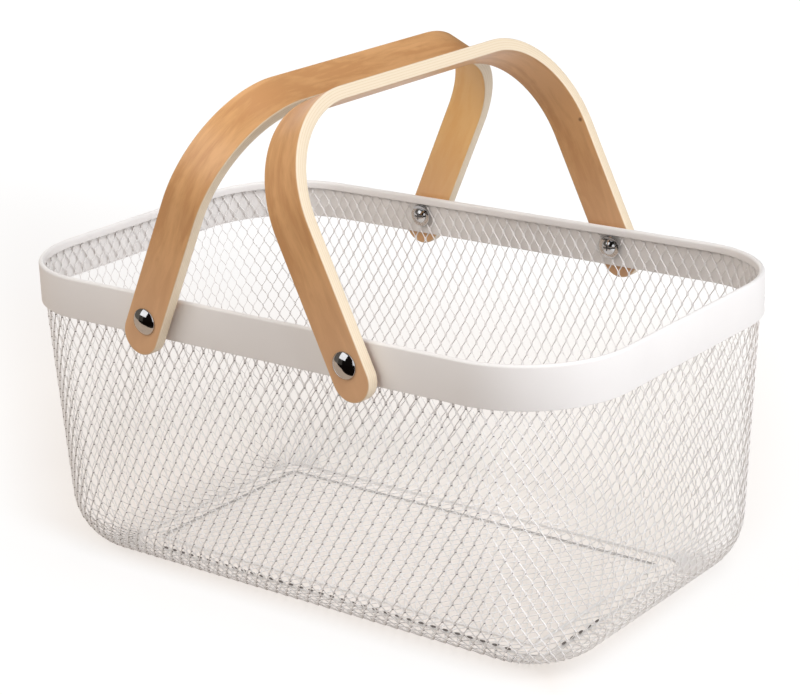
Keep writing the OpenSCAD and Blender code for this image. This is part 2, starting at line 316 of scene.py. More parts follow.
# Materials
# Polyester powder coat on steel: a soft gloss over a fine orange peel, warm white
powderCoat, tree, shader = newMaterial("powderCoat", Roughness=0.42, IOR=1.5)
place = addNode(tree, "ShaderNodeTexCoord").outputs["Object"]
peel = addNode(tree, "ShaderNodeTexNoise", Vector=place, Scale=900.0, Detail=2.0)  # 1 mm waves
cloud = addNode(tree, "ShaderNodeTexNoise", Vector=place, Scale=14.0, Detail=3.0)  # 70 mm clouds
shade = addNode(tree, "ShaderNodeValToRGB", {"stops": [(0.3, "#ECEAE8"), (0.7, "#F2F0EE")]},
                Fac=cloud.outputs["Fac"])
# painted shade: the sharp ends of the openings are painted grey where shade gathers in them; the panel's
# crease and the seam marks get the same grey
notch = addNode(tree, "ShaderNodeAttribute", {"attribute_name": "notch"}).outputs["Fac"]
shadeShare = addNode(tree, "ShaderNodeMapRange", Value=notch, From_Min=0.3, From_Max=0.6)
mixed = addNode(tree, "ShaderNodeMix", {"data_type": "RGBA"}, in0=shadeShare.outputs["Result"],
                in6=shade.outputs[0], in7=colour("#67625E"))
tree.links.new(mixed.outputs[2], shader.inputs["Base Color"])
bump = addNode(tree, "ShaderNodeBump", Height=peel.outputs["Fac"], Strength=0.12, Distance=0.0001)
tree.links.new(bump.outputs["Normal"], shader.inputs["Normal"])

# Nylon spacer, moulded: dull and slightly translucent white
nylon, tree, shader = newMaterial("mouldedNylon", Roughness=0.5, IOR=1.53, Subsurface_Weight=0.15)
shader.inputs["Subsurface Radius"].default_value = (0.002, 0.002, 0.002)
place = addNode(tree, "ShaderNodeTexCoord").outputs["Object"]
grain = addNode(tree, "ShaderNodeTexNoise", Vector=place, Scale=1500.0, Detail=1.0)  # 0.7 mm grain
shade = addNode(tree, "ShaderNodeValToRGB", {"stops": [(0.3, "#DDDBD6"), (0.7, "#E6E4DF")]},
                Fac=grain.outputs["Fac"])
tree.links.new(shade.outputs[0], shader.inputs["Base Color"])

# Bright chrome plate on turned steel: mirror smooth, with a faint haze that blurs it a little
chrome, tree, shader = newMaterial("chromePlate", Metallic=1.0)
place = addNode(tree, "ShaderNodeTexCoord").outputs["Object"]
smudge = addNode(tree, "ShaderNodeTexNoise", Vector=place, Scale=240.0, Detail=3.0)  # 4 mm smears
rough = addNode(tree, "ShaderNodeMapRange", Value=smudge.outputs["Fac"], To_Min=0.04, To_Max=0.11)
tree.links.new(rough.outputs["Result"], shader.inputs["Roughness"])
shade = addNode(tree, "ShaderNodeValToRGB", {"stops": [(0.3, "#C4C4C6"), (0.7, "#D2D2D3")]},
                Fac=smudge.outputs["Fac"])
tree.links.new(shade.outputs[0], shader.inputs["Base Color"])

# Rotary-cut birch veneers under clear satin lacquer. The strap attribute holds millimetres along,
# across and through the strap, so the grain follows the bend
birch, tree, shader = newMaterial("lacqueredBirch", Roughness=0.38, IOR=1.5, Coat_Weight=0.25,
                                  Coat_Roughness=0.25)
strapPlace = addNode(tree, "ShaderNodeAttribute", {"attribute_name": "strap"}).outputs["Vector"]
parts = addNode(tree, "ShaderNodeSeparateXYZ", Vector=strapPlace)
# fibres 0.4 mm apart and some millimetres long
fibrePlace = addNode(tree, "ShaderNodeMapping", Vector=strapPlace, Scale=(0.2, 2.4, 2.0))
fibre = addNode(tree, "ShaderNodeTexNoise", Vector=fibrePlace.outputs["Vector"], Scale=1.0, Detail=3.0,
                Roughness=0.6)
# growth rings that the rotary cut leaves as broad wandering bands
bandPlace = addNode(tree, "ShaderNodeMapping", Vector=strapPlace, Scale=(0.014, 0.1, 0.2))
wander = addNode(tree, "ShaderNodeTexNoise", Vector=bandPlace.outputs["Vector"], Scale=1.0, Detail=3.0,
                 Distortion=0.8)
# flame figure: waves 8 mm apart that run at 30 degrees to the strap
flamePlace = addNode(tree, "ShaderNodeMapping", Vector=strapPlace, Rotation=(0, 0, math.radians(30)),
                     Scale=(0.04, 0.13, 0.2))
flame = addNode(tree, "ShaderNodeTexNoise", Vector=flamePlace.outputs["Vector"], Scale=1.0, Detail=2.0,
                Distortion=1.2)
tone = addNode(tree, "ShaderNodeMath", {"operation": "MULTIPLY_ADD"}, in0=fibre.outputs["Fac"], in1=0.25,
               in2=wander.outputs["Fac"])
tone = addNode(tree, "ShaderNodeMath", {"operation": "MULTIPLY_ADD"}, in0=flame.outputs["Fac"], in1=0.5,
               in2=tone.outputs[0])
face = addNode(tree, "ShaderNodeValToRGB",
               {"stops": [(0.3, "#CA9562"), (0.5, "#D29F6B"), (0.75, "#DBA873")]})
share = addNode(tree, "ShaderNodeMapRange", Value=tone.outputs[0], From_Min=0.6, From_Max=1.15)
tree.links.new(share.outputs["Result"], face.inputs["Fac"])
# painted light: the left strap's inner face is painted paler and redder, for light that its own strap keeps
# off it
place = addNode(tree, "ShaderNodeTexCoord").outputs["Object"]
placeParts = addNode(tree, "ShaderNodeSeparateXYZ", Vector=place)
onLeft = addNode(tree, "ShaderNodeMapRange", Value=placeParts.outputs["X"], From_Min=0.001, From_Max=-0.001)
within = addNode(tree, "ShaderNodeMapRange", Value=parts.outputs["Z"], From_Min=-3, From_Max=-3.6)
paintedLight = addNode(tree, "ShaderNodeMath", {"operation": "MULTIPLY"}, in0=onLeft.outputs["Result"],
               in1=within.outputs["Result"])
face = addNode(tree, "ShaderNodeMix", {"data_type": "RGBA", "blend_type": "SCREEN"}, in0=paintedLight.outputs[0],
               in6=face.outputs[0], in7=colour("#D98F49"))
# painted sheen: the feet are painted paler than the bends
reach = addNode(tree, "ShaderNodeMath", {"operation": "ABSOLUTE"}, in0=parts.outputs["X"])
reach = addNode(tree, "ShaderNodeMapRange", Value=reach.outputs[0], From_Min=180, From_Max=240, To_Max=0.7)
face = addNode(tree, "ShaderNodeMix", {"data_type": "RGBA"}, in0=reach.outputs["Result"],
               in6=face.outputs[2], in7=colour("#DDB189"))
# one small knot on the right strap's inner face, 2 mm across
knot = addNode(tree, "ShaderNodeVectorMath", {"operation": "DISTANCE"}, in0=strapPlace,
               in1=(161.9, 9.7, -3.75))
knot = addNode(tree, "ShaderNodeMapRange", {"interpolation_type": "SMOOTHSTEP"},
               Value=knot.outputs["Value"], From_Min=0.5, From_Max=1.9, To_Min=0.75, To_Max=0)
knot = addNode(tree, "ShaderNodeMath", {"operation": "SUBTRACT", "use_clamp": True},
               in0=knot.outputs["Result"], in1=onLeft.outputs["Result"])
face = addNode(tree, "ShaderNodeMix", {"data_type": "RGBA"}, in0=knot.outputs[0], in6=face.outputs[2],
               in7=colour("#6A4020"))
# cut edges are paler, with darker glue lines between the veneers of 1.5 mm
depth = addNode(tree, "ShaderNodeMath", {"operation": "MULTIPLY"}, in0=parts.outputs["Z"], in1=1 / 1.5)
depth = addNode(tree, "ShaderNodeMath", {"operation": "ADD"}, in0=depth.outputs[0], in1=0.5)
veneer = addNode(tree, "ShaderNodeMath", {"operation": "FRACT"}, in0=depth.outputs[0])
veneer = addNode(tree, "ShaderNodeMath", {"operation": "SUBTRACT"}, in0=veneer.outputs[0], in1=0.5)
line = addNode(tree, "ShaderNodeMath", {"operation": "ABSOLUTE"}, in0=veneer.outputs[0])
edge = addNode(tree, "ShaderNodeValToRGB",
               {"stops": [(0.0, "#ECDCC3"), (0.42, "#EADABF"), (0.5, "#D8BF97")]}, Fac=line.outputs[0])
edgeness = addNode(tree, "ShaderNodeAttribute", {"attribute_name": "rim"}).outputs["Fac"]
mixed = addNode(tree, "ShaderNodeMix", {"data_type": "RGBA"}, in0=edgeness, in6=face.outputs[2],
                in7=edge.outputs[0])
tree.links.new(mixed.outputs[2], shader.inputs["Base Color"])
bump = addNode(tree, "ShaderNodeBump", Height=fibre.outputs["Fac"], Strength=0.08, Distance=0.0002)
tree.links.new(bump.outputs["Normal"], shader.inputs["Normal"])
print("materials made")

# Wall of expanded metal
lattice = {
    "radius": 59.5,      # corner radius on which the columns keep their pitch
    "phase": 0.54,       # half columns between the front's left end and the first joint
    "firstRow": 4.2,     # the first half row is cut short under the lip
    "leanLong": 10,      # pressing has pulled the columns' feet aside, most in the middle of a side
    "leanShort": -4.5,
    "leanEnd": 110,      # mm down the sheet
    "sag": 6,            # and the long sides' rows downwards
    "setBack": 0.65,     # middle of the metal behind the wall's outer face
}
wallGirth = rimLength(lattice["radius"])
wallAcross = 2 * round(wallGirth / expanded["pitchAround"])
halfPitch = wallGirth / wallAcross
wallDown = 1 + round((wallLength - lattice["firstRow"]) / expanded["pitchDown"] * 2)
halfTall = (wallLength - lattice["firstRow"]) / (wallDown - 1)


def onSheet(column, row):
    # mm round and down the sheet: even columns less lean sin(pi s) sin(pi/2 v/leanEnd), even rows plus
    # sag sin(pi v/length) sin(pi s), with s the share of the side
    u = (column - lattice["phase"]) * halfPitch
    v = np.interp(row, [0, 1, wallDown], [0, lattice["firstRow"], wallLength])
    side, share = aroundRim(u, lattice["radius"])[3:]
    swell = np.sin(math.pi * share)
    lean = np.select([side % 4 == 0, side % 4 == 2], [lattice["leanLong"], lattice["leanShort"]], 0)
    sag = np.where(side % 4 == 0, lattice["sag"], 0)
    down = np.sin(math.pi / 2 * np.minimum(v / lattice["leanEnd"], 1))
    return u - lean * swell * down, v + sag * swell * np.sin(math.pi * v / wallLength)


def wallHalfWide(column, row):
    # half a diamond's width: the columns draw together as the corner's radius shrinks
    u, v = onSheet(column, row)
    shrunk = (basket["cornerRadius"] - downWall(v)[1]) / lattice["radius"]
    return halfPitch * np.where(aroundRim(u, lattice["radius"])[3] % 2 == 1, shrunk, 1)


def wallPoint(column, row, depth):
    # centre of curvature + (radius - inset - depth cos slope) along the angle, height + depth sin slope
    u, v = onSheet(column, row)
    x, y, angle = aroundRim(u, lattice["radius"])[:3]
    slope, inset, height = downWall(v)
    radius = basket["cornerRadius"] - inset - depth * np.cos(slope)
    level = np.maximum(height + depth * np.sin(slope), 0)
    return np.stack([x + radius * np.cos(angle), y + radius * np.sin(angle), level], -1)


# the wall carries painted shade at the tips of its openings
column, row, depth, quads, notch = expandedMetal(
    wallAcross, wallDown, True, wallHalfWide, halfTall, expanded["wallTwist"], (0,))
wall = addPiece("meshWall", wallPoint(column, row, depth + lattice["setBack"]), quads, powderCoat,
                "basket",
                sharp=25, values={"notch": notch})
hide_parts("mesh_wall")
print("wall:", wallAcross // 2, "columns,", wallDown, "half rows,", len(wall.data.polygons), "faces")

# Floor
floor = {
    "width": footHigh[0] - footLow[0],
    "depth": footHigh[1] - footLow[1],
    "cornerRadius": 14.15,
    "foot": 13,
    "panelRadius": 8,
    "rise": 2,
    "step": 2.2,       # width over which the sheet climbs onto the panel
    "crease": (1.1, 0.95, 0.4),   # half width, height and half height
    "creaseRadius": 2,
    "creaseShade": 0.47,   # painted shade on its left and back sides
    "seamMark": (2.2, 0.8, 0.6),      # half axes of a painted shade mark
    "seamMarkDepth": 2.0,     # its middle behind the wall's outer face
    "shadeShare": 0.4,          # painted shade at the tips, weaker than on the wall
}
floorAcross = 2 * round(floor["width"] / expanded["pitchAround"])
floorDown = 2 * round(floor["depth"] / expanded["pitchDown"])


def floorPoint(column, row, depth):
    # rows along y; a row near an end is drawn in to the rounded corner. The height is the rise
    # times a smooth step of the distance inside the panel's outline, a rectangle with round corners
    w, d, r = floor["width"] / 2, floor["depth"] / 2, floor["cornerRadius"]
    y = d - row * 2 * d / floorDown
    over = np.clip(abs(y) - (d - r), 0, r)
    half = w - r + np.sqrt(r * r - over * over)
    x = (column / floorAcross * 2 - 1) * half
    pr = floor["panelRadius"]
    qx = abs(x) - (w - floor["foot"] - pr)
    qy = abs(y) - (d - floor["foot"] - pr)
    inside = pr - np.hypot(np.maximum(qx, 0), np.maximum(qy, 0)) - np.minimum(np.maximum(qx, qy), 0)
    t = np.clip(inside / floor["step"], 0, 1)
    z = floor["rise"] * t * t * (3 - 2 * t) + 0.5 - depth
    return np.stack([x, y, np.maximum(z, 0)], -1)


def roundedLoop(halfX, halfY, radius, steps):
    # points and outward directions round a rectangle with quarter-circle corners
    turn = np.radians(np.concatenate([np.linspace(start, start + 90, steps) for start in (0, 90, 180, 270)]))
    side = np.repeat(np.array([(1, 1), (-1, 1), (-1, -1), (1, -1)]), steps, 0)
    out = np.stack([np.cos(turn), np.sin(turn)], -1)
    return side * (np.array([halfX, halfY]) - radius) + radius * out, out


def seamShadeMarks(name, columns):
    # painted shade: dark marks at the wall's last joints, where it meets the floor, stand in for the shade
    # in the slots there; a mark is a flattened ball, a b c along the rim, across it and up
    around, rings = 8, 5
    turn = np.linspace(0, 2 * math.pi, around, endpoint=False)[:, None, None]
    lift = np.linspace(-math.pi / 2, math.pi / 2, rings)[:, None]
    angle = aroundRim(onSheet(columns, wallDown)[0], lattice["radius"])[2][:, None, None, None]
    out = np.concatenate([np.cos(angle), np.sin(angle), 0 * angle], -1)
    along = np.concatenate([-np.sin(angle), np.cos(angle), 0 * angle], -1)
    centre = wallPoint(columns, np.full(columns.shape, float(wallDown)), floor["seamMarkDepth"])[:, None, None]
    a, b, c = floor["seamMark"]
    points = (centre + a * np.cos(turn) * np.cos(lift) * along + b * np.sin(turn) * np.cos(lift) * out
              + c * np.sin(lift) * np.array([0, 0, 1]))
    ball = gridQuads(around, rings, True).reshape(-1, 4)
    quads = np.arange(len(columns))[:, None, None] * around * rings + ball
    addPiece(name, points, quads, powderCoat, "basket", values={"notch": np.ones(points.size // 3)},
             turnOut=True)


column, row, depth, quads, notch = expandedMetal(
    floorAcross, floorDown, False,
    lambda c, r: np.full(c.shape, floor["width"] / floorAcross), floor["depth"] / floorDown,
    expanded["floorTwist"], (0, 0.5))
# seen from below the floor's outer face has its columns mirrored, so the quads are turned round
# the floor carries the same painted shade at its tips, weaker
base = addPiece("meshFloor", floorPoint(column, row, depth), quads[:, ::-1], powderCoat, "basket",
                sharp=25, values={"notch": notch * floor["shadeShare"]})
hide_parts("mesh_base")
# the crease at the foot of the panel, a thin ellipse swept round it, its left and back sides painted grey as
# painted shade
around, cornerSteps = 8, 14
halfWidth, level, halfHeight = floor["crease"]
loop, out = roundedLoop(floor["width"] / 2 - floor["foot"], floor["depth"] / 2 - floor["foot"],
                        floor["creaseRadius"], cornerSteps)
turn = np.linspace(0, 2 * math.pi, around, endpoint=False)
flat = loop[:, None] + out[:, None] * (halfWidth * np.cos(turn))[:, None]
rise = np.broadcast_to(level + halfHeight * np.sin(turn), flat.shape[:2])
# painted shade: grey on the crease's left and back sides only
shadedSides = np.clip((out[:, 1] - out[:, 0]) * 2, 0, 1) * floor["creaseShade"]
addPiece("panelCrease", np.concatenate([flat, rise[..., None]], -1),
         gridQuads(len(loop), around, True, True),
         powderCoat, "basket", values={"notch": np.repeat(shadedSides, around)}, turnOut=True)
# painted shade marks along the front and round its right corner, at every other column
seamShadeMarks("seamShadeMarks", np.concatenate([np.arange(5, 73, 2.0), np.arange(99, 109, 2.0)]))
print("floor:", len(base.data.polygons), "faces")

# Rim band
band = {"height": rimHigh[2] - rimLow[2], "thickness": 0.8, "lip": 3.4, "turnDown": 5}


def bandProfile():
    # closed line as (inset, height): up the outer face, half circle over the lip, down inside, and
    # back through the metal's thickness
    h, t, lip = basket["height"], band["thickness"], band["lip"]
    low, turn, r = h - band["height"], h - band["turnDown"], lip / 2
    over = np.linspace(0, math.pi, 13)
    outer = np.stack([r - r * np.cos(over), h - r + r * np.sin(over)], -1)
    inner = np.stack([r + (r - t) * np.cos(over), h - r + (r - t) * np.sin(over)], -1)
    hem = np.linspace(math.pi, 2 * math.pi, 7)
    hemLow = np.stack([t / 2 - t / 2 * np.cos(hem), low + t / 2 + t / 2 * np.sin(hem)], -1)
    hemTurn = np.stack([lip - t / 2 + t / 2 * np.cos(hem - math.pi),
                        turn + t / 2 - t / 2 * np.sin(hem - math.pi)], -1)
    return np.concatenate([outer, hemTurn, inner, hemLow])


def rimStations(radius, cornerSteps, runSteps):
    # places along the rim: few on the straight runs, many round the corners
    quarter = math.pi / 2 * radius
    stations, u = [], 0.0
    for side in range(4):
        run = 2 * (coreX, coreY)[side % 2]
        stations += [u + run * np.arange(runSteps) / runSteps,
                     u + run + quarter * np.arange(cornerSteps) / cornerSteps]
        u += run + quarter
    return np.concatenate(stations)


profile = bandProfile()
x, y, angle = aroundRim(rimStations(basket["cornerRadius"], 32, 4), basket["cornerRadius"])[:3]
radius = basket["cornerRadius"] - profile[:, 0]
points = np.stack(np.broadcast_arrays(
    x[:, None] + radius * np.cos(angle)[:, None],
    y[:, None] + radius * np.sin(angle)[:, None],
    profile[:, 1]), -1)
rim = addPiece("rimBand", points, gridQuads(len(x), len(profile), True, True), powderCoat, "basket",
               turnOut=True)
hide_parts("rim_band")
print("band:", len(rim.data.polygons), "faces")

# Bentwood handles
strap = {
    "width": 25,
    "thickness": 7.5,
    "rise": 138.5,       # hinge to top
    "shoulder": 64.5,    # outer radius
    "halfSpan": 134.9,   # middle plane to the outer face
    "footTip": 21,       # below the hinge
    "topGap": 3.4,       # between the closed handles
    "edge": 0.8,         # radius of the eased edges
}
hinge = {j["child"]: np.array(j["pos_m"]) * 1000 for j in frame["joints"]}


def bentStrap(side):
    # The strap is first a flat bar with half-round ends: a ring of stations round its outline, and at
    # each station half a cross-section from the middle line over the edge to the middle line of the
    # other face. Then the bar is bent: with d from the top's middle, t = (d - flat) / r limited to a
    # quarter turn, y = min(d, flat) + r sin t, z = top - r + r cos t - the rest of d
    w, th, e = strap["width"] / 2, strap["thickness"] / 2, strap["edge"]
    r = strap["shoulder"] - th
    flat = strap["halfSpan"] - strap["shoulder"]
    shoulderZ = strap["rise"] - strap["shoulder"]
    footCentre = w - strap["footTip"]
    spine = flat + r * math.pi / 2 + shoulderZ - footCentre
    steps, endSteps = 251, 31
    along = np.linspace(-spine, spine, steps)
    endTurn = np.linspace(math.pi / 2, -math.pi / 2, endSteps + 2)[1:-1]
    stationA = np.concatenate([along, np.full(endSteps, spine), along[::-1], np.full(endSteps, -spine)])
    stationDirA = np.concatenate([0 * along, np.cos(endTurn), 0 * along, -np.cos(endTurn)])
    stationDirB = np.concatenate([0 * along + 1, np.sin(endTurn), 0 * along - 1, -np.sin(endTurn)])
    ease = np.linspace(math.pi / 2, 0, 5)
    reach = np.concatenate([[0, 0.35 * w, 0.7 * w], w - e + e * np.cos(ease)])
    through = np.concatenate([[th, th, th], th - e + e * np.sin(ease)])
    reach = np.concatenate([reach, reach[::-1]])
    through = np.concatenate([through, -through[::-1]])
    a = stationA[:, None] + stationDirA[:, None] * reach
    b = stationDirB[:, None] * reach
    n = np.broadcast_to(through, a.shape)
    edgeness = np.broadcast_to(np.clip((reach - (w - e * 0.9)) / (e * 0.5), 0, 1), a.shape)
    d = abs(a)
    t = np.clip((d - flat) / r, 0, math.pi / 2)
    y = np.sign(a) * (np.minimum(d, flat) + (r + n) * np.sin(t))
    z = shoulderZ + (r + n) * np.cos(t) - np.maximum(0, d - flat - r * math.pi / 2)
    inward = abs(hinge[side][0]) - strap["topGap"] / 2
    lean = math.asin(inward / math.hypot(strap["rise"], w)) - math.atan2(w, strap["rise"])
    turn = -math.copysign(lean, hinge[side][0])
    across = b * math.cos(turn) + z * math.sin(turn)
    points = np.stack([across, y, z * math.cos(turn) - b * math.sin(turn)], -1) + hinge[side]
    quads = gridQuads(len(stationA), len(reach), True, False)
    return points, quads, {"strap": np.stack([a, b, n], -1).reshape(-1, 3),
                           "rim": edgeness.reshape(-1).copy()}


for node, name in (("left_handle", "leftHandle"), ("right_handle", "rightHandle")):
    points, quads, values = bentStrap(node)
    piece = addPiece(name, points, quads, birch, node, values=values, turnOut=True)
    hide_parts(node)
print("handles bent")

# Hardware
hardware = {
    "shank": 3.0,
    "dome": 7.75,
    "domeHeight": 3.8,
    "roll": 1.0,          # radius of the dome's rolled edge
    "washer": 7,
    "washerBore": 2.1,
    "spacerEase": 0.25,   # its eased edges
    "play": 0.1,          # between spacer and shank
    "steps": 64,          # faces round a turned piece
    "screwHead": 4.5,
    "screwHeight": 2.8,
    "screwRim": 0.7,      # height of the head's plain edge
    "recess": 2.5,        # reach of the cross recess
    "recessHalf": 0.52,   # half width of its slots
    "recessDepth": 1.9,
}


def atHinge(along, up, out, hingeX, hingeZ, face):
    # along and up lie across the hinge line, out runs from the basket's middle plane outwards
    return np.stack(np.broadcast_arrays(hingeX + along, face * out, hingeZ + up), -1)


def turned(profile, steps, hingeX, hingeZ, face):
    # a profile of (radius, out) points turned round the hinge line
    turn = np.linspace(0, 2 * math.pi, steps, endpoint=False)[:, None]
    points = atHinge(profile[:, 0] * np.cos(turn), profile[:, 0] * np.sin(turn), profile[:, 1] + 0 * turn,
                     hingeX, hingeZ, face)
    return points, gridQuads(steps, len(profile), True, False)


def screwHead(hingeX, hingeZ, face, seat):
    # A shallow dome, height = top (1 - (r / edge)^2.2), less a cross recess: two crossed slots
    # whose depth grows inwards from their ends and sides
    rings, steps = 26, 96
    edge, top, low = hardware["screwHead"], hardware["screwHeight"], hardware["screwRim"]
    reach, half, depth = hardware["recess"], hardware["recessHalf"], hardware["recessDepth"]
    r = np.concatenate([np.linspace(0, 1, rings) * edge, [edge, edge]])[None, :]
    turn = np.linspace(0, 2 * math.pi, steps, endpoint=False)[:, None]
    x, z = r * np.cos(turn), r * np.sin(turn)
    dome = low + (top - low) * (1 - (r / edge) ** 2.2)
    slot = lambda p, q: np.clip(np.minimum((reach - abs(p)) * 1.1, (half - abs(q)) * 4), 0, depth)
    out = np.where(np.arange(rings + 2) < rings, dome - np.maximum(slot(x, z), slot(z, x)), 0)
    x[:, -1] = z[:, -1] = 0
    points = atHinge(x, z, seat - out, hingeX, hingeZ, face)
    return points, gridQuads(steps, rings + 2, True, False)


def ends(node):
    # distances in mm of a node's outer and inner end from the basket's middle plane
    near, far = sorted(abs(corner[1]) * 1000 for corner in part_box(node))
    return far, near


h = hardware
for sideName in ("left", "right"):
    pivot = hinge[sideName + "_handle"]
    for face, faceName in ((-1, "front"), (1, "back")):
        where = (pivot[0], pivot[2], face)
        tag = faceName + "_" + sideName
        title = faceName.capitalize() + sideName.capitalize()
        outer, inner = ends("barrel_nut_" + tag)
        # barrel nut: spherical dome to a slope of 45 degrees, its edge rolled over, on its shank
        roll, slope = h["roll"], math.radians(45)
        ball = (h["dome"] - roll * (1 - math.sin(slope))) / math.sin(slope)
        sweep, over = np.linspace(0, slope, 16), np.linspace(slope, math.pi / 2, 9)[1:]
        cap = np.stack([ball * np.sin(sweep), outer - ball + ball * np.cos(sweep)], -1)
        rim = np.stack([(ball - roll) * math.sin(slope) + roll * np.sin(over),
                        outer - ball + (ball - roll) * math.cos(slope) + roll * np.cos(over)], -1)
        seat = outer - h["domeHeight"]
        dome = np.concatenate([cap, rim])
        rest = np.array([[h["shank"], seat], [h["shank"], inner], [0, inner]])
        points, quads = turned(np.concatenate([dome, rest]), h["steps"], *where)
        piece = addPiece("barrelNut" + title, points, quads, chrome, "basket", turnOut=True)
        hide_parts("barrel_nut_" + tag)
        # spacer: plain ring with eased edges
        outer, inner = ends("spacer_" + tag)
        r, bore, c = h["washer"], h["shank"] + h["play"], h["spacerEase"]
        ring = np.array([[bore, inner], [r - c, inner], [r, inner + c], [r, outer - c], [r - c, outer],
                         [bore, outer], [bore, inner]])
        points, quads = turned(ring, h["steps"], *where)
        piece = addPiece("spacer" + title, points, quads, nylon, "basket", turnOut=True)
        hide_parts("spacer_" + tag)
        # washer: stamped, so its outer edge is rounded on the side that shows
        outer, inner = ends("washer_" + tag)
        bore = h["washerBore"]
        ring = np.array([[bore, inner], [r - 0.45, inner], [r - 0.15, inner + 0.12], [r, inner + 0.4],
                         [r, outer], [bore, outer], [bore, inner]])
        points, quads = turned(ring, h["steps"], *where)
        piece = addPiece("washer" + title, points, quads, chrome, "basket", turnOut=True)
        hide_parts("washer_" + tag)
        # screw, its seat on the washer's inner face
        points, quads = screwHead(*where, inner)
        piece = addPiece("screw" + title, points, quads, chrome, "basket", sharp=28,
                         turnOut=True)
        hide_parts("screw_" + tag)
print("hardware made")

# Stage
stage = {
    "floorHalf": 8.0,
    "worldLight": 0.28,
    "underGlow": 0.38,     # share of its own white that the floor shows under the basket, in its painted shadow
    "nearGlow": 0.8,       # and beside it
    "cardReach": 2.8,      # distance of the dark cards that only the metal mirrors
    "footprint": (0.145, 0.07, 0),    # from its middle, in metres
    "sight": math.radians(37.9),      # the photograph's line of sight, from the front to the right
    "strip": (0.17, 0.23),            # half width of the shaded strip along it, and its growth
    "glow": 1.05,
}


def whiteToTheEye(tree):
    # 1 for rays that look at the background: camera, mirror and glass rays
    path = addNode(tree, "ShaderNodeLightPath")
    seen = addNode(tree, "ShaderNodeMath", {"operation": "MAXIMUM"},
                   in0=path.outputs["Is Camera Ray"], in1=path.outputs["Is Glossy Ray"])
    seen = addNode(tree, "ShaderNodeMath", {"operation": "MAXIMUM"},
                   in0=seen.outputs[0], in1=path.outputs["Is Transmission Ray"])
    return seen.outputs[0]


world = bpy.data.worlds.new("studio")
bpy.context.scene.world = world
world.use_nodes = True
tree = world.node_tree
tree.nodes.clear()
lightLevel = addNode(tree, "ShaderNodeBackground", Color=colour("#FFF5EF"), Strength=stage["worldLight"])
whiteLevel = addNode(tree, "ShaderNodeBackground", Color=(1, 1, 1, 1), Strength=1.0)
both = addNode(tree, "ShaderNodeMixShader", in0=whiteToTheEye(tree), in1=lightLevel.outputs[0],
               in2=whiteLevel.outputs[0])
addNode(tree, "ShaderNodeOutputWorld", Surface=both.outputs[0])


def stagePiece(name, points, quads, material):
    # a mesh of the stage, its points in metres
    mesh = bpy.data.meshes.new(name)
    mesh.from_pydata(points.reshape(-1, 3).tolist(), [], quads)
    mesh.materials.append(material)
    piece = bpy.data.objects.new(name, mesh)
    bpy.context.scene.collection.objects.link(piece)
    return piece


# White paper sweep: matt, its own white fading in away from the basket so that the far floor stays white
paper, tree, shader = newMaterial("paperSweep", Roughness=0.9)
looks = whiteToTheEye(tree)
# what the floor throws back at the basket is the beige of a studio table
sheet = addNode(tree, "ShaderNodeMix", {"data_type": "RGBA"}, in0=looks, in6=colour("#B4ADA8"),
                in7=colour("#F1E9E3"))
tree.links.new(sheet.outputs[2], shader.inputs["Base Color"])
place = addNode(tree, "ShaderNodeTexCoord").outputs["Object"]
# distance in metres from the basket's footprint
away = addNode(tree, "ShaderNodeVectorMath", {"operation": "ABSOLUTE"}, in0=place)
away = addNode(tree, "ShaderNodeVectorMath", {"operation": "SUBTRACT"}, in0=away.outputs[0],
               in1=stage["footprint"])
away = addNode(tree, "ShaderNodeVectorMath", {"operation": "MAXIMUM"}, in0=away.outputs[0], in1=(0, 0, 0))
away = addNode(tree, "ShaderNodeVectorMath", {"operation": "LENGTH"}, in0=away.outputs[0])
beside = addNode(tree, "ShaderNodeMapRange", Value=away.outputs["Value"], From_Max=0.3,
                 To_Min=stage["nearGlow"])
# painted shadow: behind and under the mesh the floor glows less. x and y of the turned place are metres
# across the line of sight and along it, and the shaded strip's half width is a fixed part plus a share of
# the distance
turnedPlace = addNode(tree, "ShaderNodeMapping", Vector=place, Rotation=(0, 0, -stage["sight"]))
turnedParts = addNode(tree, "ShaderNodeSeparateXYZ", Vector=turnedPlace.outputs[0])
plain = addNode(tree, "ShaderNodeSeparateXYZ", Vector=place)
strip = addNode(tree, "ShaderNodeMath", {"operation": "MULTIPLY_ADD", "use_clamp": True},
                in0=turnedParts.outputs["Y"], in1=stage["strip"][1], in2=stage["strip"][0])
aside = addNode(tree, "ShaderNodeMath", {"operation": "ABSOLUTE"}, in0=turnedParts.outputs["X"])
aside = addNode(tree, "ShaderNodeMath", {"operation": "DIVIDE"}, in0=aside.outputs[0], in1=strip.outputs[0])
shaded = addNode(tree, "ShaderNodeMapRange", {"interpolation_type": "SMOOTHSTEP"}, Value=aside.outputs[0],
                 From_Min=0.85, From_Max=1.45, To_Min=1, To_Max=0)
# it ends 0.15 to 0.19 m to the right of the basket's middle, and 0.075 m less in front of it
ahead = addNode(tree, "ShaderNodeMath", {"operation": "MULTIPLY_ADD"}, in0=plain.outputs["Y"], in1=-1,
                in2=0.075)
ahead = addNode(tree, "ShaderNodeMath", {"operation": "MAXIMUM"}, in0=ahead.outputs[0],
                in1=plain.outputs["X"])
covered = addNode(tree, "ShaderNodeMapRange", {"interpolation_type": "SMOOTHSTEP"}, Value=ahead.outputs[0],
                  From_Min=0.15, From_Max=0.19, To_Min=1, To_Max=0)
shaded = addNode(tree, "ShaderNodeMath", {"operation": "MULTIPLY"}, in0=shaded.outputs["Result"],
                 in1=covered.outputs["Result"])
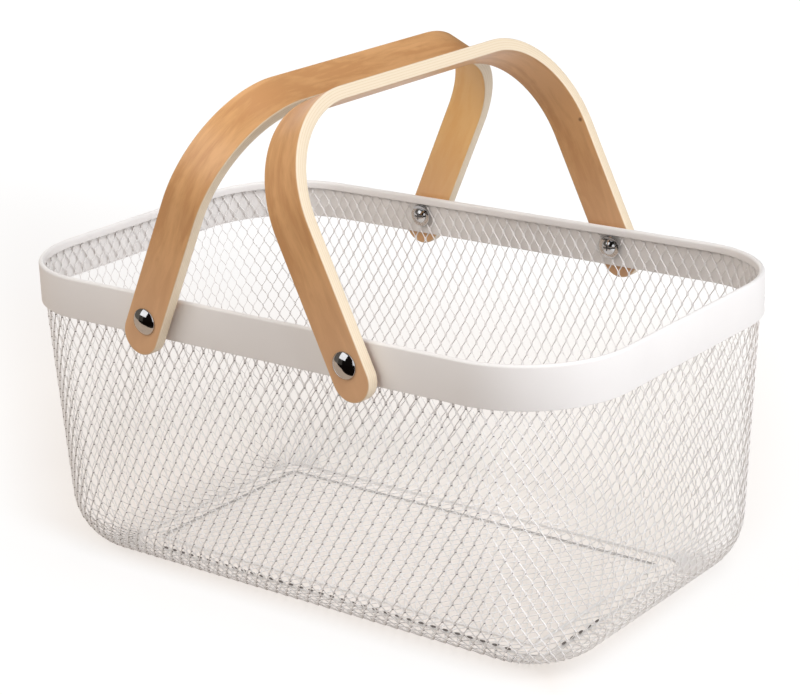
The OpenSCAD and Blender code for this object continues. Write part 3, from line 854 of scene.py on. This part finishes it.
# the painted shadow also darkens a little towards the left
deep = addNode(tree, "ShaderNodeMath", {"operation": "MULTIPLY_ADD"}, in0=turnedParts.outputs["X"], in1=0.9,
               in2=turnedParts.outputs["Y"])
under = addNode(tree, "ShaderNodeMapRange", Value=deep.outputs[0], From_Min=-0.05, From_Max=0.75,
                To_Min=stage["underGlow"])
share = addNode(tree, "ShaderNodeMix", in0=shaded.outputs[0], in2=beside.outputs["Result"],
                in3=under.outputs["Result"])
share = addNode(tree, "ShaderNodeMath", {"operation": "MULTIPLY"}, in0=looks, in1=share.outputs[0])
# the shaded part is beige, less and less so towards the back
beige = addNode(tree, "ShaderNodeMapRange", Value=turnedParts.outputs["Y"], From_Min=0.1, From_Max=0.6,
                To_Min=1, To_Max=0)
beige = addNode(tree, "ShaderNodeMath", {"operation": "MULTIPLY"}, in0=beige.outputs["Result"],
                in1=shaded.outputs[0])
tint = addNode(tree, "ShaderNodeMix", {"data_type": "RGBA"}, in0=beige.outputs[0], in6=(1, 1, 1, 1),
               in7=colour("#FFFAF4"))
glow = addNode(tree, "ShaderNodeEmission", Color=tint.outputs[2], Strength=stage["glow"])
both = addNode(tree, "ShaderNodeMixShader", in0=share.outputs[0], in1=shader.outputs[0],
               in2=glow.outputs[0])
tree.links.new(both.outputs[0], tree.nodes["Material Output"].inputs["Surface"])
half = stage["floorHalf"]
square = np.array([(-half, -half, 0), (half, -half, 0), (half, half, 0), (-half, half, 0)])
stagePiece("ground", square, [range(4)], paper)


def mirrorCard(name, tint, points, quads, strength=1.0):
    # a card that only mirror rays meet, so that the chrome has something to show
    card, tree, _ = newMaterial(name + "Card")
    glow = addNode(tree, "ShaderNodeEmission", Color=colour(tint), Strength=strength)
    tree.links.new(glow.outputs[0], tree.nodes["Material Output"].inputs["Surface"])
    piece = stagePiece(name, points, quads, card)
    piece.visible_camera = piece.visible_diffuse = piece.visible_shadow = piece.visible_transmission = False


def roundCard(name, tint, azimuths, elevations):
    # part of a sphere about the basket; azimuth 0 is the front, growing to the right
    columns, rows = 13, 9
    az = np.radians(np.linspace(*azimuths, columns))[:, None]
    el = np.radians(np.linspace(*elevations, rows))[None, :]
    r = stage["cardReach"]
    points = np.stack(np.broadcast_arrays(r * np.sin(az) * np.cos(el), -r * np.cos(az) * np.cos(el),
                                          r * np.sin(el)), -1)
    mirrorCard(name, tint, points, gridQuads(columns, rows).reshape(-1, 4).tolist())


def lowCard(name, tint, corners):
    # flat card a millimetre above the floor
    mirrorCard(name, tint, np.array([(x, y, 0.001) for x, y in corners]), [range(len(corners))])


roundCard("frontRight", "#15110F", (-18, 42), (0, 90))
roundCard("frontRightHigh", "#15110F", (42, 54), (30, 90))
roundCard("frontMiddle", "#4A4540", (-45, -18), (0, 90))
roundCard("frontLeft", "#6B655E", (-100, -45), (0, 90))
roundCard("behind", "#2A2725", (140, 215), (0, 90))
# the beige table ends along a slanting line
tableEnd = [(0.14, -0.16), (0.07, -0.24), (0.0, -0.34), (-0.1, -0.5), (-0.5, -0.75), (-2.8, -2.0),
            (-4.0, -2.65)]
lowCard("lowRight", "#120D0B", tableEnd + [(-4.0, -4.0), (4.0, -4.0), (4.0, -1.0), (0.75, -0.145)])
lowCard("lowLeft", "#CDB8A4", tableEnd[::-1] + [(0.14, -0.09), (-0.165, -0.09), (-0.165, 0.5), (-4.0, 0.5)])


def softBox(name, place, target, size, power, tint):
    # a soft lamp that faces its target, of the given size in metres; gives its corners
    lamp = bpy.data.lights.new(name, "AREA")
    lamp.shape = "RECTANGLE"
    lamp.size, lamp.size_y = size
    lamp.energy = power
    lamp.color = colour(tint)[:3]
    lampObject = bpy.data.objects.new(name, lamp)
    lampObject.location = place
    lampObject.rotation_euler = (Vector(target) - Vector(place)).to_track_quat("-Z", "Y").to_euler()
    bpy.context.scene.collection.objects.link(lampObject)
    # the mirrors see cards in place of the lamps
    lampObject.visible_glossy = False
    facing = lampObject.rotation_euler.to_matrix()
    return [lampObject.location + facing @ Vector((x * size[0] / 2, y * size[1] / 2, 0))
            for x, y in ((-1, -1), (1, -1), (1, 1), (-1, 1))]


# high key over the right front corner, a low one beyond the right side, a weak one behind to the left
# and a wide fill in front to the left
softBox("highKey", (1.0, -0.32, 1.82), (0, 0, 0.12), (0.9, 0.9), 20, "#F7FAFF")
softBox("sideKey", (1.8, 0.0, 0.38), (0, 0, 0.12), (0.9, 0.9), 18, "#F7FAFF")
softBox("backFill", (-0.9, 1.5, 1.3), (0, 0, 0.15), (0.9, 0.9), 4, "#FFF9F3")
corners = softBox("frontFill", (-0.63, -1.38, 1.38), (0, 0, 0.15), (1.55, 1.18), 16, "#FFF9F3")
# the chrome shows the fill as a white box
mirrorCard("frontBox", "#FFFFFF", np.array([list(c) for c in corners]), [range(4)], 1.3)

# Camera
view = {
    "azimuth": stage["sight"],
    "elevation": math.radians(18.56),
    "roll": math.radians(-2.06),
    "distance": 1.35166,
    "aim": (0.00248, 0.13012),   # metres to the right of the middle, and height
    "lens": 103.63,
}
a, e = view["azimuth"], view["elevation"]
right = Vector((math.cos(a), math.sin(a), 0))
back = Vector((math.sin(a) * math.cos(e), -math.cos(a) * math.cos(e), math.sin(e)))
up = back.cross(right)
camera = bpy.data.objects.new("camera", bpy.data.cameras.new("camera"))
bpy.context.scene.collection.objects.link(camera)
bpy.context.scene.camera = camera
camera.data.lens = view["lens"]
camera.data.sensor_width = 36
camera.data.clip_start, camera.data.clip_end = 0.05, 30
roll = view["roll"]
across = right * math.cos(roll) + up * math.sin(roll)
upward = up * math.cos(roll) - right * math.sin(roll)
spot = right * view["aim"][0] + Vector((0, 0, view["aim"][1])) + back * view["distance"]
camera.matrix_world = Matrix((
    (across.x, upward.x, back.x, spot.x),
    (across.y, upward.y, back.y, spot.y),
    (across.z, upward.z, back.z, spot.z),
    (0, 0, 0, 1),
))
print("stage and camera set")

scene = bpy.context.scene
scene.view_settings.view_transform = "Standard"
